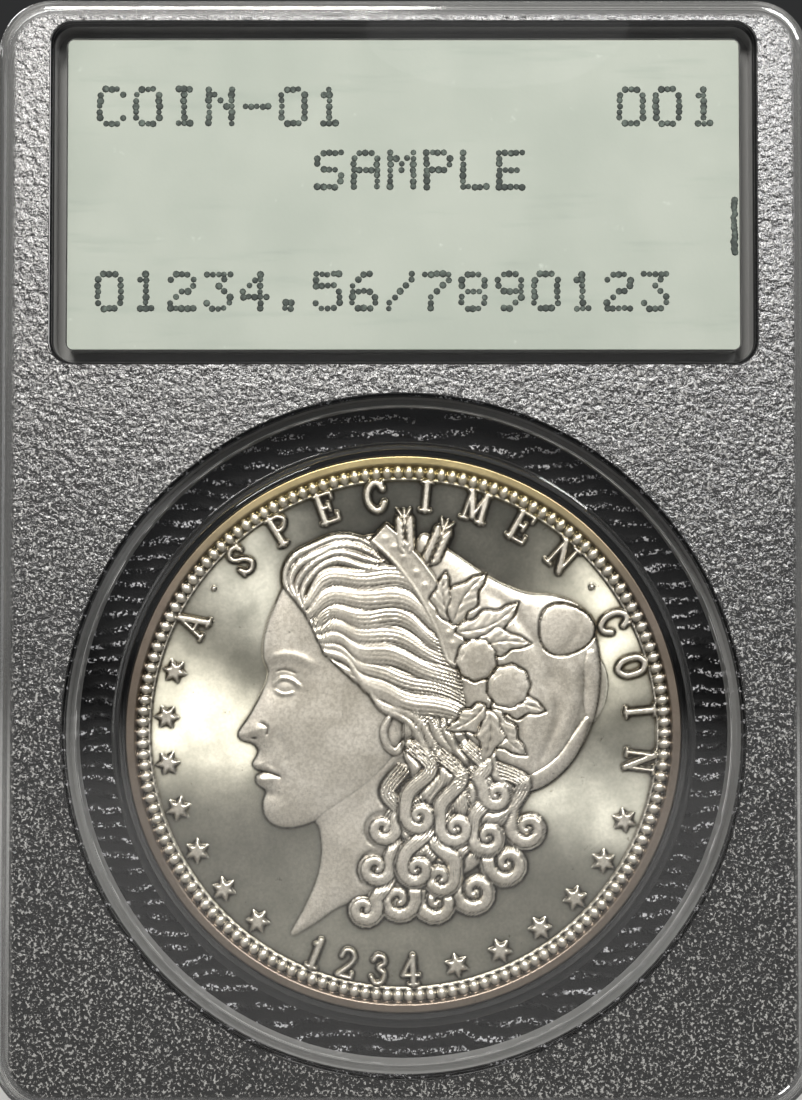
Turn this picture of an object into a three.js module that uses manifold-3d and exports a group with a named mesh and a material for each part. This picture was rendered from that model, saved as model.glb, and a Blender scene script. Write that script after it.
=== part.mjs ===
// Graded coin slab: a large silver coin sealed in a welded clear case.
// Millimetres, +Z up. The slab stands on its bottom edge and faces -Y, with the coin's axis along Y.
import * as THREE from 'three';
import { mergeVertices } from 'three/addons/utils/BufferGeometryUtils.js';
import Module from 'manifold-3d';

const wasm = await Module();
wasm.setup();

// Coin
const COIN_DIAMETER = 38.1;
const COIN_THICKNESS = 2.4;
const COIN_RIM_WIDTH = 0.8;
const COIN_FIELD_DEPTH = 0.35; // how far the fields lie below the rim
const COIN_EDGE_CHAMFER = 0.12;
const COIN_FLOAT = 0.25; // free play between the coin's rim and each window
const COIN_CLEARANCE = 0.06; // radial, coin to its ring
const STAR_RADIUS = 0.82;
const STAR_RELIEF = 0.15;
const STAR_CIRCLE_INSET = 2.8; // from the coin's edge to the centres of the stars
const STARS_LEFT = 7;
const STARS_RIGHT = 6;
const STAR_PITCH_DEG = 11.2;
const STAR_GAP_DEG = 26; // half of the gap that the two rows of stars leave for the date

// Ring that holds the coin by its edge
const RING_WALL = 0.9;
const RING_LIP_WIDTH = 0.55; // the rounded outer part that stands above the coin's face

// Case
const PLATE = 1.2; // front and back panels
const SIDE_WALL = 1.2;
const CORNER_RADIUS = 3.6;
const EDGE_RADIUS = 0.8;
const PAD = 0.35; // extra thickness behind the coin window
const WINDOW_MARGIN = 3.95; // from the coin's edge to the edge of its window
const WINDOW_WALL = 0.5; // the round wall behind the front window
const SIDE_MARGIN = 4.8; // from the coin window to the side of the case
const BOTTOM_MARGIN = 2.6;
const TOP_MARGIN = 1.8;
const WINDOW_GAP = 2.4; // between the two windows
const GROOVE_WIDTH = 0.2; // the fine groove round each window
const GROOVE_DEPTH = 0.15;
const TONGUE_THICKNESS = 0.4; // the welded tongue along the side walls
const TONGUE_HEIGHT = 0.5;
const TONGUE_CLEARANCE = 0.05;

// Labels and insert
const LABEL_WINDOW_HEIGHT = 23.2;
const LABEL_SIDE_MARGIN = 3.8; // from the label window to the side of the case
const LABEL_WALL = 0.8; // the wall round the label
const LABEL_CORNER = 1.4;
const CARD_THICKNESS = 0.3;
const CARD_CORNER = 0.4;
const CARD_CLEARANCE = 0.1; // round the card's edge
const WEB = 0.75; // the insert's thinnest floor
const LAYER_CLEARANCE = 0.05; // between stacked pieces, and round the ring
const CORE_CLEARANCE = 0.1; // between the insert and the walls

// Facets
const ROUND_FACETS = 128;
const CORNER_FACETS = 12;
const EDGE_FACETS = 7;

// Sizes that follow from the ones above
const coinRadius = COIN_DIAMETER / 2;
const windowRadius = coinRadius + WINDOW_MARGIN;
const caseWidth = 2 * (windowRadius + SIDE_MARGIN);
const caseHeight = BOTTOM_MARGIN + 2 * windowRadius + WINDOW_GAP + LABEL_WINDOW_HEIGHT + TOP_MARGIN;
const coinHeight = BOTTOM_MARGIN + windowRadius;
const labelHeight = caseHeight - TOP_MARGIN - LABEL_WINDOW_HEIGHT / 2;
const labelWindowWidth = caseWidth - 2 * LABEL_SIDE_MARGIN;
const cardWidth = labelWindowWidth - 2 * (LABEL_WALL + CARD_CLEARANCE);
const cardHeight = LABEL_WINDOW_HEIGHT - 2 * (LABEL_WALL + CARD_CLEARANCE);
const ringInner = coinRadius + COIN_CLEARANCE;
const ringOuter = ringInner + RING_WALL;
const seatRadius = ringOuter + LAYER_CLEARANCE;

// Distances from the slab's middle plane, the same on both sides
const windowLevel = COIN_THICKNESS / 2 + COIN_FLOAT;
const plateLevel = windowLevel + PAD;
const faceLevel = plateLevel + PLATE;
const coreLevel = plateLevel - LAYER_CLEARANCE;
const platformLevel = coreLevel - CARD_THICKNESS - LAYER_CLEARANCE;
const webBack = windowLevel - LAYER_CLEARANCE;
const webFront = webBack - WEB;
const wallTip = webFront - LAYER_CLEARANCE; // the front walls reach past the middle plane

// A closed three.js geometry as a solid that can be cut and joined
function toSolid(geometry) {
  geometry.deleteAttribute('normal');
  geometry.deleteAttribute('uv');
  const merged = mergeVertices(geometry);
  const index = merged.index.array;
  const kept = [];
  for (let i = 0; i < index.length; i += 3) {
    const [a, b, c] = [index[i], index[i + 1], index[i + 2]];
    if (a !== b && b !== c && c !== a) kept.push(a, b, c);
  }
  return new wasm.Manifold(new wasm.Mesh({
    numProp: 3,
    vertProperties: Float32Array.from(merged.attributes.position.array),
    triVerts: Uint32Array.from(kept),
  }));
}

function toGeometry(solid) {
  const mesh = solid.getMesh();
  const geometry = new THREE.BufferGeometry();
  geometry.setAttribute('position', new THREE.BufferAttribute(mesh.vertProperties, 3));
  geometry.setIndex(new THREE.BufferAttribute(mesh.triVerts, 1));
  geometry.computeVertexNormals();
  return geometry;
}

// A rectangle with round corners, centred on the origin
function roundedRectangle(width, height, radius) {
  const x = width / 2 - radius;
  const y = height / 2 - radius;
  const shape = new THREE.Shape();
  shape.absarc(x, -y, radius, -Math.PI / 2, 0);
  shape.absarc(x, y, radius, 0, Math.PI / 2);
  shape.absarc(-x, y, radius, Math.PI / 2, Math.PI);
  shape.absarc(-x, -y, radius, Math.PI, 1.5 * Math.PI);
  shape.closePath();
  return shape;
}

// An upright shape made solid between two distances along Y, with its centre at the given height
function upright(shape, y0, y1, height) {
  const depth = Math.abs(y1 - y0);
  const geometry = new THREE.ExtrudeGeometry(shape, {
    depth,
    bevelEnabled: false,
    curveSegments: CORNER_FACETS / 2,
  });
  geometry.rotateX(Math.PI / 2);
  geometry.translate(0, Math.max(y0, y1), height);
  return toSolid(geometry);
}

function disc(radius, y0, y1) {
  const geometry = new THREE.CylinderGeometry(radius, radius, Math.abs(y1 - y0), ROUND_FACETS);
  geometry.translate(0, (y0 + y1) / 2, coinHeight);
  return toSolid(geometry);
}

// A profile of [radius, y] pairs turned round the coin's axis
function turned(profile) {
  const points = profile.map(([radius, y]) => new THREE.Vector2(radius, y));
  const geometry = new THREE.LatheGeometry(points, ROUND_FACETS);
  geometry.translate(0, 0, coinHeight);
  return toSolid(geometry);
}

function tube(inner, outer, y0, y1) {
  return disc(outer, y0, y1).subtract(disc(inner, y0 - PLATE, y1 + PLATE));
}

// The case's outline, moved in by a distance, made solid between y0 and y1
function caseBlock(inset, y0, y1) {
  const outline = roundedRectangle(
    caseWidth - 2 * inset,
    caseHeight - 2 * inset,
    CORNER_RADIUS - inset,
  );
  return upright(outline, y0, y1, caseHeight / 2);
}

// The label window's outline, moved out by a distance, made solid between y0 and y1
function labelBlock(outset, y0, y1) {
  const outline = roundedRectangle(
    labelWindowWidth + 2 * outset,
    LABEL_WINDOW_HEIGHT + 2 * outset,
    Math.max(LABEL_CORNER + outset, CARD_CORNER),
  );
  return upright(outline, y0, y1, labelHeight);
}

function labelFrame(inset, outset, y0, y1) {
  return labelBlock(outset, y0, y1).subtract(labelBlock(-inset, y0 - PLATE, y1 + PLATE));
}

// The whole slab's outer form, with round edges on both faces
function roundedSlab() {
  const outline = roundedRectangle(caseWidth, caseHeight, CORNER_RADIUS);
  const geometry = new THREE.ExtrudeGeometry(outline, {
    depth: 2 * (faceLevel - EDGE_RADIUS),
    bevelThickness: EDGE_RADIUS,
    bevelSize: EDGE_RADIUS,
    bevelOffset: -EDGE_RADIUS,
    bevelSegments: EDGE_FACETS,
    curveSegments: CORNER_FACETS / 2,
  });
  geometry.rotateX(Math.PI / 2);
  geometry.translate(0, faceLevel - EDGE_RADIUS, caseHeight / 2);
  return toSolid(geometry);
}

// One half of the case: side is -1 for the front and 1 for the back. The walls round the label
// and the coin reach from the panel to the distance given as tip.
function caseHalf(side, tip) {
  const root = side * (plateLevel + PLATE / 2);
  const half = caseBlock(-SIDE_WALL, 0, side * 2 * faceLevel);
  const hollow = caseBlock(SIDE_WALL, -side * PLATE, side * plateLevel);
  const grooveFloor = side * (faceLevel - GROOVE_DEPTH);
  const grooveTop = side * (faceLevel + GROOVE_DEPTH);
  return roundedSlab()
    .intersect(half)
    .subtract(hollow)
    .add(disc(windowRadius, root, side * windowLevel))
    .add(labelFrame(LABEL_WALL, 0, root, tip))
    .subtract(tube(windowRadius, windowRadius + GROOVE_WIDTH, grooveFloor, grooveTop))
    .subtract(labelFrame(0, GROOVE_WIDTH, grooveFloor, grooveTop));
}

// A rib that follows the middle of the side walls
function sideRib(thickness, y0, y1) {
  const inset = (SIDE_WALL - thickness) / 2;
  return caseBlock(inset, y0, y1).subtract(caseBlock(inset + thickness, y0 - PLATE, y1 + PLATE));
}

function frontShell() {
  const grooveWidth = TONGUE_THICKNESS + 2 * TONGUE_CLEARANCE;
  const grooveDepth = TONGUE_HEIGHT + TONGUE_CLEARANCE;
  return caseHalf(-1, wallTip)
    .add(tube(windowRadius - WINDOW_WALL, windowRadius, -plateLevel - PLATE / 2, wallTip))
    .subtract(sideRib(grooveWidth, -grooveDepth, grooveDepth));
}

function backShell() {
  return caseHalf(1, windowLevel).add(sideRib(TONGUE_THICKNESS, -TONGUE_HEIGHT, EDGE_RADIUS));
}

// The black insert: a thick sheet with a seat for the ring, a slot for each front wall and a
// platform behind each label.
function coreInsert() {
  const opening = windowRadius + CORE_CLEARANCE;
  return caseBlock(SIDE_WALL + CORE_CLEARANCE, -coreLevel, coreLevel)
    .subtract(disc(opening, -faceLevel, webFront))
    .subtract(disc(opening, webBack, faceLevel))
    .subtract(disc(seatRadius, -faceLevel, faceLevel))
    .subtract(labelFrame(LABEL_WALL + CARD_CLEARANCE, CORE_CLEARANCE, -faceLevel, webFront))
    .subtract(labelBlock(CORE_CLEARANCE, -faceLevel, -platformLevel))
    .subtract(labelBlock(CORE_CLEARANCE, platformLevel, faceLevel));
}

// A sleeve with a rounded lip at each end
function coinRing() {
  const top = windowLevel - LAYER_CLEARANCE;
  const lipInner = ringOuter - RING_LIP_WIDTH;
  const lipBase = COIN_THICKNESS / 2;
  const lip = [];
  for (let i = 0; i <= EDGE_FACETS; i += 1) {
    const angle = (Math.PI * i) / EDGE_FACETS;
    const radius = ringOuter - (RING_LIP_WIDTH / 2) * (1 - Math.cos(angle));
    lip.push([radius, lipBase + (top - lipBase) * Math.sin(angle)]);
  }
  const below = lip.map(([radius, y]) => [radius, -y]).reverse();
  return turned([
    [ringInner, -lipBase],
    [lipInner, -lipBase],
    ...below.slice(1),
    ...lip.slice(0, -1),
    [lipInner, lipBase],
    [ringInner, lipBase],
    [ringInner, -lipBase],
  ]);
}

function starShape() {
  const inner = STAR_RADIUS / Math.sqrt(3);
  const shape = new THREE.Shape();
  for (let i = 0; i < 12; i += 1) {
    const radius = i % 2 === 0 ? STAR_RADIUS : inner;
    const angle = (Math.PI * i) / 6;
    const x = radius * Math.cos(angle);
    const y = radius * Math.sin(angle);
    if (i === 0) shape.moveTo(x, y);
    else shape.lineTo(x, y);
  }
  shape.closePath();
  return shape;
}

// A raised star on the front field; the angle is counted from straight down, clockwise as seen
// from the front.
function star(angleDeg) {
  const angle = THREE.MathUtils.degToRad(angleDeg);
  const reach = coinRadius - STAR_CIRCLE_INSET;
  const field = -(COIN_THICKNESS / 2 - COIN_FIELD_DEPTH);
  const height = coinHeight - reach * Math.cos(angle);
  const solid = upright(starShape(), field - STAR_RELIEF, field + STAR_RELIEF, height);
  return solid.translate([-reach * Math.sin(angle), 0, 0]);
}

function coin() {
  const rim = COIN_THICKNESS / 2;
  const field = rim - COIN_FIELD_DEPTH;
  const rimInner = coinRadius - COIN_RIM_WIDTH;
  const flatOuter = coinRadius - COIN_EDGE_CHAMFER;
  const side = rim - COIN_EDGE_CHAMFER;
  const rimFoot = rimInner - COIN_FIELD_DEPTH;
  let blank = turned([
    [0, -field],
    [rimFoot, -field],
    [rimInner, -rim],
    [flatOuter, -rim],
    [coinRadius, -side],
    [coinRadius, side],
    [flatOuter, rim],
    [rimInner, rim],
    [rimFoot, field],
    [0, field],
  ]);
  for (let i = 0; i < STARS_LEFT; i += 1) blank = blank.add(star(STAR_GAP_DEG + STAR_PITCH_DEG * i));
  for (let i = 0; i < STARS_RIGHT; i += 1) blank = blank.add(star(-STAR_GAP_DEG - STAR_PITCH_DEG * i));
  return blank;
}

function card(side) {
  const outline = roundedRectangle(cardWidth, cardHeight, CARD_CORNER);
  const outer = coreLevel;
  return upright(outline, side * outer, side * (outer - CARD_THICKNESS), labelHeight);
}

function part(name, solid, color, roughness, metalness) {
  const material = new THREE.MeshStandardMaterial({ color, roughness, metalness });
  const mesh = new THREE.Mesh(toGeometry(solid), material);
  mesh.name = name;
  return mesh;
}

const slab = new THREE.Group();
slab.add(
  part('front_shell', frontShell(), 0xdfe4e3, 0.08, 0),
  part('back_shell', backShell(), 0xdfe4e3, 0.08, 0),
  part('core_insert', coreInsert(), 0x17171a, 0.6, 0),
  part('coin_ring', coinRing(), 0xe6eae9, 0.06, 0),
  part('coin', coin(), 0xc9c6b8, 0.22, 1),
  part('label_card', card(-1), 0xbccdb9, 0.85, 0),
  part('back_card', card(1), 0xbccdb9, 0.85, 0),
);

export default slab;
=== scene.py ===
"""Looks of a graded coin slab: a struck silver coin in a clear welded case, standing on its bottom edge.

Lengths in the numpy part are millimetres; the frame and every mesh are metres."""
import math
import bpy
import numpy as np
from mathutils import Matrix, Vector


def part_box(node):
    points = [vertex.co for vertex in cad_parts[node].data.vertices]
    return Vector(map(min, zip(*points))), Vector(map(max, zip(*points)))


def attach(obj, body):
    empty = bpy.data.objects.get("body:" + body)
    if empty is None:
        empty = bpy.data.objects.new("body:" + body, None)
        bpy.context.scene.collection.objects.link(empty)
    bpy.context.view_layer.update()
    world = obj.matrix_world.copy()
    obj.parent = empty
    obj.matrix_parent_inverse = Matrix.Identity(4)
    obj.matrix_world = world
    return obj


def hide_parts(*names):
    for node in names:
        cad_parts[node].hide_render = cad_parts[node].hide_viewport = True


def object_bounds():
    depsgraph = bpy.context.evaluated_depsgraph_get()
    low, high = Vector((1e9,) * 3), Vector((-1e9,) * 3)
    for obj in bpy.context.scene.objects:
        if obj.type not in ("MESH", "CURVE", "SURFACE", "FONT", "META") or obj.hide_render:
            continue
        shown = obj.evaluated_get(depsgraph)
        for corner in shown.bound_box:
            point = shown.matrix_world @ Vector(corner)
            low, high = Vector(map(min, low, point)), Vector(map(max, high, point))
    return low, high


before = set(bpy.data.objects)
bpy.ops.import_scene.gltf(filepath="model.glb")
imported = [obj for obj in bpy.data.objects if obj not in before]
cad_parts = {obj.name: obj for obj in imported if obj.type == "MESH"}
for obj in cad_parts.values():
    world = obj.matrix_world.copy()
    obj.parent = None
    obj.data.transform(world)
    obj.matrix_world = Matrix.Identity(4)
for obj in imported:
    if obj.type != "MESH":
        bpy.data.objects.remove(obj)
cad_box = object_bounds()
MM = 0.001
SEED = 7
rng = np.random.default_rng(SEED)


def node_box(name):
    """Lowest and highest corner of a CAD node as two arrays in millimetres."""
    lo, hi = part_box(name)
    return np.array(lo) / MM, np.array(hi) / MM


# Places taken from the frame, in millimetres
coin_lo, coin_hi = node_box("coin")
card_lo, card_hi = node_box("label_card")
BACK_CARD_FACE = node_box("back_card")[1][1]
case_lo, case_hi = np.array(cad_box[0]) / MM, np.array(cad_box[1]) / MM
COIN_R = (coin_hi[0] - coin_lo[0]) / 2
COIN_Z = (coin_hi[2] + coin_lo[2]) / 2
COIN_HALF = (coin_hi[1] - coin_lo[1]) / 2
CARD_Z = (card_hi[2] + card_lo[2]) / 2
CASE_W, CASE_H = case_hi[0] - case_lo[0], case_hi[2] - case_lo[2]
FACE = case_hi[1]
CASE_CORNER = 3.6  # radius of the case's corners
WINDOW_MARGIN = 3.95  # from the coin's edge to the edge of its window
CARD_MARGIN = 0.9  # from the label's edge to the edge of its window
LABEL_CORNER = 1.4  # radius of the label window's corners
WINDOW_R = COIN_R + WINDOW_MARGIN
LABEL_HALF = (card_hi[0] - card_lo[0]) / 2 + CARD_MARGIN, (card_hi[2] - card_lo[2]) / 2 + CARD_MARGIN

# ---------------------------------------------------------------- relief sculpting

FIELD = 0.35  # how far the coin's fields lie below its rim
CRISP = 1.4  # how much steeper the relief is shaded than it is
SHOULDER = 0.14  # radius of the round between the coin's rim and its edge
GRID_STEP = 0.055  # spacing of the heights from which a face is taken
FACE_MIDDLE = 14.9  # radius where a face's middle piece meets its round
OBVERSE_RINGS, REVERSE_RINGS = 155, 110  # rings of points in the middle piece
BEADS = 150
FULL_HEIGHT = 0.3  # forms above this are flattened
REEDS, REED_DEPTH = 190, 0.05
LETTER_RING = 0.857 * COIN_R
STAR_RING = 0.854 * COIN_R
DATE_RING = 0.85 * COIN_R


class Board:
    """A square grid of heights over a coin's face, u to the right and v up, in millimetres."""

    def __init__(self, radius, step):
        count = int(radius / step) + 2
        self.axis = np.arange(-count, count + 1) * step
        self.step = step
        self.u, self.v = np.meshgrid(self.axis, self.axis)
        self.h = np.zeros_like(self.u)
        self.base = self.h.copy()

    def part(self, points, reach):
        """The slices of the grid that lie within reach of the points."""
        lo = np.searchsorted(self.axis, np.min(points, axis=0) - reach)
        hi = np.searchsorted(self.axis, np.max(points, axis=0) + reach)
        return slice(lo[1], hi[1]), slice(lo[0], hi[0])

    def at(self, u, v, h=None):
        """The height, or another value on the grid, at any point, from the four grid points round it."""
        x = (u - self.axis[0]) / self.step
        y = (v - self.axis[0]) / self.step
        i, j = np.floor(x).astype(int), np.floor(y).astype(int)
        s, t = x - i, y - j
        h = self.h if h is None else h
        low = h[j, i] * (1 - s) + h[j, i + 1] * s
        high = h[j + 1, i] * (1 - s) + h[j + 1, i + 1] * s
        return low * (1 - t) + high * t


def smooth(points, closed=False, steps=8):
    """A curve through the points: on each span the cubic whose end slopes are half the chord between
    the neighbours on either side."""
    p = np.asarray(points, float)
    if closed:
        p = np.vstack([p[-1], p, p[0], p[1]])
    else:
        p = np.vstack([2 * p[0] - p[1], p, 2 * p[-1] - p[-2]])
    t = (np.arange(steps) / steps)[:, None]
    a, b, c, d = (p[i:len(p) - 3 + i, None] for i in range(4))
    spans = 0.5 * (2 * b + (c - a) * t + (2 * a - 5 * b + 4 * c - d) * t**2 + (3 * b - a - 3 * c + d) * t**3)
    out = spans.reshape(-1, p.shape[1])
    return out if closed else np.vstack([out, p[-2]])


def to_path(u, v, path):
    """Distance from each grid point to the path, and how far along it the nearest point lies, 0 to 1."""
    seg = np.diff(path, axis=0)
    length = np.hypot(seg[:, 0], seg[:, 1])
    start = np.concatenate([[0], np.cumsum(length)])
    best = np.full(u.shape, 1e9)
    share = np.zeros(u.shape)
    for (x, y), (dx, dy), l, s in zip(path[:-1], seg, length, start[:-1]):
        t = np.clip(((u - x) * dx + (v - y) * dy) / (l * l + 1e-12), 0, 1)
        d = np.hypot(u - x - t * dx, v - y - t * dy)
        closer = d < best
        best[closer] = d[closer]
        share[closer] = ((s + t * l) / start[-1])[closer]
    return best, share


def inside(u, v, loop):
    """Distance to a closed outline, positive inside it, by the crossing rule."""
    closed = np.vstack([loop, loop[:1]])
    d, _ = to_path(u, v, closed)
    odd = np.zeros(u.shape, bool)
    for (x0, y0), (x1, y1) in zip(closed[:-1], closed[1:]):
        if y0 != y1:
            odd ^= ((v < y0) != (v < y1)) & (u < x0 + (v - y0) * (x1 - x0) / (y1 - y0))
    return np.where(odd, d, -d)


def dome(d, width):
    """0 at the outline and 1 from width inwards, along a quarter circle."""
    return np.sqrt(1 - (1 - np.clip(d / width, 0, 1)) ** 2)


def mass(board, loop, width, height):
    """Raises a form inside an outline to height times the dome of the distance from it; over what is there
    already it takes the higher."""
    i = board.part(loop, 0.5)
    d = inside(board.u[i], board.v[i], loop)
    raised = np.where(d > 0, height * dome(d, width), 0)
    board.h[i] = np.maximum(board.h[i], raised)


def strand(board, path, width, height, lift=0.0, taper=0.6, free=False):
    """A ridge along a path, thin at both ends: its section is half an ellipse, and it stands on the form
    below, or on the field if free."""
    i = board.part(path, width)
    d, t = to_path(board.u[i], board.v[i], path)
    w = width * (1 - taper * np.abs(2 * t - 1) ** 2.5)
    k = np.clip(1 - (d / w) ** 2, 0, 1)
    floor = 0.0 if free else board.base[i]
    raised = np.where(k > 0, floor + lift + height * np.sqrt(k), 0)
    board.h[i] = np.maximum(board.h[i], raised)


def line(board, path, width, height):
    """Adds a ridge along a path, or a groove if height is negative: a bell curve of the distance, faded out
    over the first and last sixth."""
    i = board.part(path, 3 * width)
    d, t = to_path(board.u[i], board.v[i], path)
    fade = np.clip(6 * t, 0, 1) * np.clip(6 * (1 - t), 0, 1)
    board.h[i] += height * np.exp(-((d / width) ** 2)) * fade


def bump(board, centre, radii, height, turn=0.0):
    """Adds an oval hill, or a hollow if height is negative: a bell curve of the distance, only where the
    face is raised already."""
    c = np.asarray(centre, float)
    i = board.part(c[None], 3 * max(radii))
    a = math.radians(turn)
    x, y = board.u[i] - c[0], board.v[i] - c[1]
    p = (x * math.cos(a) + y * math.sin(a)) / radii[0]
    q = (y * math.cos(a) - x * math.sin(a)) / radii[1]
    board.h[i] += height * np.exp(-(p * p + q * q)) * (board.h[i] > 0)


# Outlines of the forms of the head, in millimetres from the coin's centre
PROFILE = [(-7.6, 10.6), (-8.9, 8.6), (-9.55, 6.6), (-9.6, 5.2), (-9.3, 4.1), (-9.75, 2.7), (-10.55, 1.2),
        (-11.3, 0.05), (-11.1, -0.5), (-10.3, -0.75), (-9.95, -1.3), (-10.3, -2.05), (-10.2, -2.4),
        (-9.8, -2.65), (-10.1, -3.0), (-10.0, -3.5), (-9.45, -4.0), (-9.6, -4.8), (-9.45, -5.7),
        (-8.7, -6.35), (-7.5, -6.45), (-5.8, -5.9), (-3.5, -4.6), (-1.2, -2.6), (0.6, 0.5), (1.0, 4.0),
        (-0.5, 8.0), (-4.0, 11.0)]
NECK = [(-6.2, -5.0), (-5.75, -6.6), (-5.6, -8.2), (-5.9, -9.9), (-6.7, -11.8), (-7.7, -13.8),
        (-6.2, -13.1), (-4.4, -11.9), (-2.2, -11.2), (1.0, -11.0), (3.5, -9.0), (4.0, -4.0), (2.0, 0.0),
        (-3.0, -2.0)]
CAP = [(1.2, 13.6), (3.6, 12.2), (6.0, 10.6), (8.4, 9.6), (10.4, 9.4), (12.2, 8.6), (13.2, 6.6), (13.5, 3.8),
       (13.0, 0.8), (11.6, -1.9), (9.4, -3.8), (7.0, -3.9), (4.8, -2.2), (3.6, 1.2), (2.6, 6.0), (0.6, 10.0)]
HAIR = [(-7.9, 9.9), (-7.7, 11.2), (-6.9, 12.5), (-5.3, 13.2), (-3.6, 13.2), (-1.8, 13.6), (0.6, 12.6),
        (2.4, 9.6), (3.9, 5.0), (5.2, 1.4), (6.9, -2.0), (7.4, -5.0), (6.4, -7.6), (4.2, -9.6), (1.0, -10.2),
        (-1.0, -9.2), (-0.6, -7.0), (-0.9, -5.0), (-0.6, -3.2), (-0.2, -0.6), (-1.6, 2.2), (-3.6, 4.0),
        (-5.6, 5.8), (-6.9, 7.8)]


def between(a, b, s):
    """The points a share s of the way from those of one guide line to those of another."""
    return [(1 - s) * np.asarray(p) + s * np.asarray(q) for p, q in zip(a, b)]


def sideways(path):
    """The unit vector across a path at each of its points."""
    side = np.gradient(path, axis=0)[:, ::-1] * (1, -1)
    return side / (np.hypot(side[:, 0], side[:, 1])[:, None] + 1e-9)


def locks(board, first, last, count, rows, height, rise, wave, waves, turn, lift):
    """Wavy locks side by side that change step by step from one guide line to another. A lock is a few
    fine strands on a rounded back; its strands share one wave, which grows from root to tip, and the
    waves of neighbouring locks are a part turn apart."""
    gap = np.hypot(*(np.asarray(first) - np.asarray(last)).T).mean() / (count * rows)
    start = rng.uniform(0, 6.28)
    for k in range(count):
        phase = start + turn * k + rng.uniform(-0.5, 0.5)
        size = wave * rng.uniform(0.75, 1.25)
        level = lift * rng.uniform(-1, 1)
        reach = rng.uniform(0.95, 1.0)
        for r in range(rows):
            path = smooth(between(first, last, (k + (r + 0.5) / rows) / count), steps=7)
            path = path[:int(len(path) * reach)]
            t = np.linspace(0, 1, len(path))[:, None]
            path = path + sideways(path) * size * (0.3 + 0.7 * t) * np.sin(2 * math.pi * waves * t + phase)
            across = (r + 0.5) / rows * 2 - 1
            strand(board, path, gap * rng.uniform(0.6, 0.8), height * rng.uniform(0.85, 1.15),
                   level + rise * (1 - across * across), taper=0.75)


def spiral(centre, radius, turns, start, way, tail):
    """A curl: a path that winds in towards its centre, with a tail that leads into it. The radius shrinks
    to 0.15 of itself as nearly the share of the turns made."""
    n = int(14 * turns)
    a = math.radians(start) + way * np.linspace(0, 2 * math.pi * turns, n)
    r = radius * (1 - 0.85 * np.linspace(0, 1, n) ** 0.9)
    curl = np.stack([centre[0] + r * np.cos(a), centre[1] + r * np.sin(a)], 1)
    return np.vstack([smooth(list(tail) + [curl[0]], steps=6)[:-1], curl])


def curl(board, path, width, height, rows, lift):
    """A lock that ends in a curl: a dark edge cut into what is below, and strands side by side along one
    path, on a rounded back that narrows towards the middle of the curl."""
    i = board.part(path, 1.8 * width)
    d, _ = to_path(board.u[i], board.v[i], path)
    cut = board.h[i] - 0.09 * np.exp(-((d / (1.1 * width)) ** 6))
    board.h[i] = np.maximum(cut, np.minimum(board.h[i], 0.1))
    side = sideways(path)
    narrow = 1 - 0.7 * np.linspace(0, 1, len(path))[:, None] ** 1.5
    strand(board, path, width * 0.9, height * 0.2, lift, taper=0.5)
    for k in range(rows):
        off = ((k + 0.5) / rows * 2 - 1) * width * 0.8
        strand(board, path + side * off * narrow, width / rows * 0.78, height * 0.6,
               lift + height * 0.65 * (1 - (off / width) ** 2))


def head(board):
    """The neck and the face: two domed forms, with hills, hollows, ridges and grooves for the features,
    which are placed by thirds of the face."""
    mass(board, smooth(NECK, closed=True), 2.0, 0.14)
    mass(board, smooth(PROFILE, closed=True), 2.6, 0.26)
    bump(board, (-5.6, 0.4), (2.6, 2.4), 0.05)
    bump(board, (-8.3, 3.35), (1.25, 0.95), -0.075)
    bump(board, (-8.15, 3.2), (0.62, 0.5), 0.06)
    line(board, smooth([(-9.0, 3.2), (-8.4, 3.75), (-7.6, 3.6), (-6.9, 3.0)]), 0.13, 0.06)
    line(board, smooth([(-8.9, 2.95), (-8.2, 2.65), (-7.4, 2.8)]), 0.1, 0.035)
    line(board, smooth([(-8.9, 4.15), (-8.2, 4.35), (-7.2, 4.05)]), 0.12, -0.03)
    line(board, smooth([(-9.3, 5.0), (-8.2, 5.35), (-6.9, 5.1), (-5.9, 4.4)]), 0.3, 0.04)
    bump(board, (-9.85, 0.15), (0.55, 0.5), 0.05)
    line(board, smooth([(-9.9, 0.75), (-9.35, 0.4), (-9.4, -0.25)]), 0.12, -0.05)
    bump(board, (-10.25, -0.35), (0.28, 0.14), -0.06)
    line(board, smooth([(-10.3, -2.68), (-9.5, -2.66), (-8.7, -2.9), (-8.3, -3.05)]), 0.12, -0.075)
    line(board, smooth([(-10.2, -2.3), (-9.5, -2.3), (-8.8, -2.65)]), 0.2, 0.035)
    line(board, smooth([(-10.0, -3.1), (-9.4, -3.25), (-8.8, -3.1)]), 0.24, 0.04)
    bump(board, (-8.3, -3.1), (0.35, 0.4), -0.03)
    bump(board, (-9.2, -4.1), (0.6, 0.35), -0.03)
    bump(board, (-8.8, -5.3), (0.8, 0.7), 0.03)
    line(board, smooth([(-8.6, 0.2), (-8.0, -1.2), (-8.0, -2.2)]), 0.35, -0.02)
    line(board, smooth([(-7.6, -6.2), (-5.4, -5.4), (-3.0, -3.9), (-1.0, -1.8)]), 0.5, 0.03)
    line(board, smooth([(-5.2, -6.4), (-3.2, -8.6), (-2.4, -10.6)]), 0.7, 0.03)
    board.base = board.h.copy()


def ear(board):
    """The lobe of an ear, below the hair: a hooked ridge round a low hill."""
    lobe = smooth([(-1.0, 1.0), (-1.35, 0.1), (-1.1, -0.9), (-0.5, -1.3), (0.0, -0.7)])
    strand(board, lobe, 0.26, 0.09, taper=0.3)
    bump(board, (-0.6, -0.4), (0.45, 0.55), 0.05)


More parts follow.
